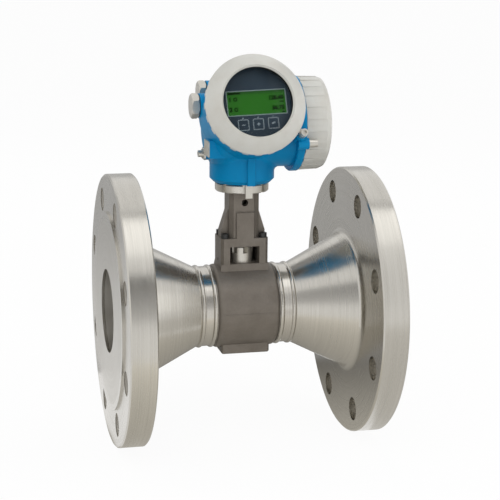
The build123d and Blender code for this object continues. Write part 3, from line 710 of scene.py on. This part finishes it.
# %% Glass
straight_share = 0.86
haze_size = 12 * MM
glass = Finish("window_glass")
glass.set(
    base_color=(0.96, 0.98, 0.98),
    transmission_weight=1.0,
    ior=1.46,
    roughness=glass.even(glass.noise(haze_size, detail=3.0), 0.0, 0.02),
)
clear = glass.node("ShaderNodeBsdfTransparent", {}, {"Color": (0.95, 0.97, 0.97, 1)})
shadow_ray = glass.node("ShaderNodeLightPath", output="Is Shadow Ray")
glass.blend(glass.maths("MAXIMUM", shadow_ray, straight_share), clear)
print("glass ready, straight share", straight_share)

# %% [markdown]
# The faceplate is a dark slate film. The panel behind it is a green liquid crystal with a lit
# background: a grid of tiny cells, a darker strip along its top, and a glow of its own so that it
# never goes black.

# %% Faceplate and panel
film_size = 0.6 * MM
film_depth = 0.002 * MM
sweep_size = 45 * MM
faceplate = Finish("dark_faceplate")
film = faceplate.noise(film_size)
sweep = faceplate.spread(faceplate.noise(sweep_size, detail=1.0), 0.35, 0.65)
faceplate.set(
    base_color=faceplate.mix(sweep, (0.010, 0.020, 0.034), (0.018, 0.032, 0.050)),
    roughness=faceplate.even(film, 0.36, 0.44),
    specular_ior_level=0.3,
    normal=faceplate.bump(film, film_depth),
)

cell_size = 0.5 * MM
cell_edges = (0.9, 1.0)
cell_shade = 0.25
strip_foot = 10.6 * MM
strip_blur = 0.3 * MM
strip_shade = 0.75
panel_glow = 0.45
panel = Finish("lcd_green")
from_centre = panel.vector("SUBTRACT", panel.place(), tuple(display_origin))
across, upward = (panel.dot(from_centre, direction) for direction in (display_across, display_up))
waves = [panel.maths("SINE", way * (2 * pi / cell_size)) for way in (across, upward)]
grid = panel.spread(panel.maths("MAXIMUM", *waves), *cell_edges)
strip = panel.spread(upward, strip_foot, strip_foot + strip_blur)
cells = panel.mix(grid * cell_shade, (0.010, 0.085, 0.002), (0.016, 0.108, 0.005))
green = panel.mix(strip * strip_shade, cells, (0.008, 0.045, 0.006))
panel.set(
    base_color=green,
    emission_color=green,
    emission_strength=panel_glow,
    roughness=0.5,
    specular_ior_level=0.2,
)
print("display finishes ready")

# %% [markdown]
# The printing on the display is thin ink: outlines round the panel and the three touch keys, and
# plain signs on the keys. An outline starts as a flat plane with its corners bevelled. Inset gives
# the line its width, the middle is deleted, and a short extrusion gives the ink a back and a
# front, so that it is a closed solid.

# %% Printing on the faceplate
faceplate_front = 8.1 * MM
panel_front = 7.1 * MM
ink_height = 0.04 * MM
ink_lift = 0.02 * MM
corner_steps = 4
faceplate_print = faceplate_front + ink_lift
panel_print = panel_front + ink_lift


def on_display(piece, x, y, height):
    """Puts a piece that was made flat at the origin on the display, at a height in its frame."""
    spot = Matrix.Translation((x, y, height))
    piece.data.transform(display_frame @ spot @ piece.matrix_world)
    piece.matrix_world = Matrix.Identity(4)
    return piece


def finish_piece(piece, name, body, material):
    """Names a piece and gives it its body and its material."""
    piece.name = name
    piece.data.name = name
    piece.data.materials.clear()
    piece.data.materials.append(material)
    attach(piece, body)


def sheet(width, height):
    """A flat rectangle at the origin."""
    start_plain()
    bpy.ops.mesh.primitive_plane_add(size=1)
    piece = bpy.context.object
    piece.scale = (width, height, 1)
    bpy.ops.object.transform_apply(location=False, rotation=False, scale=True)
    return piece


def thicken(piece):
    """Gives a flat sheet of faces the ink's height, by extruding it upwards in edit mode."""
    bpy.ops.object.mode_set(mode="EDIT")
    bpy.ops.mesh.select_all(action="SELECT")
    bpy.ops.mesh.extrude_region_move(TRANSFORM_OT_translate={"value": (0, 0, ink_height)})
    bpy.ops.mesh.select_all(action="SELECT")
    bpy.ops.mesh.normals_make_consistent(inside=False)
    bpy.ops.object.mode_set(mode="OBJECT")
    return piece


def outline(width, height, line, corner):
    """A closed line round a rectangle with rounded corners, flat at the origin."""
    piece = sheet(width, height)
    bpy.ops.object.mode_set(mode="EDIT")
    bpy.ops.mesh.select_all(action="SELECT")
    bpy.ops.mesh.bevel(offset=corner, segments=corner_steps, affect="VERTICES")
    bpy.ops.mesh.select_all(action="SELECT")
    bpy.ops.mesh.inset(thickness=line)
    bpy.ops.mesh.delete(type="FACE")
    bpy.ops.object.mode_set(mode="OBJECT")
    return thicken(piece)


def bar(width, height, turn=0.0):
    """A short printed stroke, flat at the origin."""
    piece = thicken(sheet(width, height))
    piece.data.transform(Matrix.Rotation(turn, 4, "Z"))
    return piece


def joined(pieces):
    """Several pieces as one."""
    start_plain()
    for piece in pieces:
        piece.select_set(True)
    bpy.context.view_layer.objects.active = pieces[0]
    bpy.ops.object.join()
    return bpy.context.object


panel_offset = (0.6 * MM, 1.2 * MM)
view_size = (63.0 * MM, 25.5 * MM)
frame_line = 0.55 * MM
frame_corner = 0.3 * MM
frame_size = [side + 2 * frame_line for side in view_size]
panel_frame = outline(*frame_size, frame_line, frame_corner)
on_display(panel_frame, *panel_offset, faceplate_print)
pale_ink = finishes["pale_ink"]
finish_piece(panel_frame, "panel_outline", "display_module", pale_ink)

key_places = ((-15.9 * MM, -22.0 * MM), (0.2 * MM, -21.8 * MM), (16.4 * MM, -21.5 * MM))
key_size = (11.4 * MM, 11.6 * MM)
key_line = 0.5 * MM
key_corner = 1.2 * MM
tick_length = 1.4 * MM
sign_size = 3.4 * MM
sign_line = 0.7 * MM
sign_reach = (sign_size - sign_line) / 2
barb_length = sign_size / 2.6
barb_back = 0.7 * sign_reach
barb_apart = 0.45 * sign_reach


def key_strokes(number, x, y):
    """The sign on a key, as strokes at x and y: a minus, a plus or an arrow with a corner."""
    yield bar(sign_size, sign_line), x, y
    if number == 2:
        yield bar(sign_size, sign_line, pi / 2), x, y
    if number == 3:
        yield bar(sign_line, sign_size / 2), x + sign_reach, y + sign_size / 4
        for turn in (-pi / 4, pi / 4):
            barb_y = y - sin(turn) * barb_apart
            yield bar(barb_length, sign_line, -turn), x - barb_back, barb_y


for number, (x, y) in enumerate(key_places, start=1):
    ring = on_display(outline(*key_size, key_line, key_corner), x, y, faceplate_print)
    tick_y = y + key_size[1] / 2 + tick_length
    tick = on_display(bar(sign_line, tick_length), x, tick_y, faceplate_print)
    sign = [on_display(*stroke, faceplate_print) for stroke in key_strokes(number, x, y)]
    key = joined([ring, tick, *sign])
    finish_piece(key, f"touch_key_{number}", "display_module", pale_ink)
print("faceplate printed with", len(key_places), "touch keys")

# %% [markdown]
# The panel shows two plain readings. Numbers are text objects turned into meshes, a hair above the
# panel, so that they are shapes of the model and not a picture.

# %% Readings on the panel
digit_size = 6.0 * MM
digit_weight = 0.36 * MM
digit_steps = 3
reading_right = 29.6
number_right = -26.6
ring_x = -22.3
ring_size = 4.2 * MM
ring_line = 1.1 * MM
ring_corner = 1.4 * MM
row_feet = (2.6, -8.2)
ring_above_foot = 2.0


def on_panel(piece, x, y, lift=0.0):
    """Puts a flat piece on the panel, at x and y in millimetres from the panel's middle."""
    place = (panel_offset[0] + x * MM, panel_offset[1] + y * MM)
    return on_display(piece, *place, panel_print + lift)


def reading(text, x, y):
    """A number whose right end is at x and whose foot is at y."""
    start_plain()
    bpy.ops.object.text_add()
    piece = bpy.context.object
    piece.data.body = text
    piece.data.size = digit_size
    piece.data.align_x = "RIGHT"
    piece.data.extrude = ink_height / 2
    piece.data.resolution_u = digit_steps
    piece.data.offset = digit_weight
    bpy.ops.object.convert(target="MESH")
    return on_panel(bpy.context.object, x, y, ink_height / 2)


# Each row: the width and height of a dark block and its place, in millimetres.
marks = ((4.6, 1.5, 27.1, 0.0), (2.8, 1.6, 28.0, -10.8), (13.5, 1.8, -23.3, 10.8))
readings = [
    *(reading(text, reading_right, foot) for text, foot in zip(("128.40", "36.75"), row_feet)),
    *(reading(text, number_right, foot) for text, foot in zip("12", row_feet)),
    *(on_panel(bar(width * MM, height * MM), x, y) for width, height, x, y in marks),
    *(
        on_panel(outline(ring_size, ring_size, ring_line, ring_corner), ring_x, y + ring_above_foot)
        for y in row_feet
    ),
]
dark_ink = finishes["dark_ink"]
finish_piece(joined(readings), "panel_readings", "display_module", dark_ink)
print("panel readings made of", len(readings), "strokes and numbers")

# %% [markdown]
# Each construction piece now takes the finish that its record names. The pieces keep their shape
# and place.

# %% Give every piece its finish
for subpart in frame["record"]["subparts"]:
    node = frame["nodes"][subpart["node"]]
    node.data.materials.clear()
    node.data.materials.append(finishes[subpart["material_slot"]])
print(len(frame["nodes"]), "pieces finished")
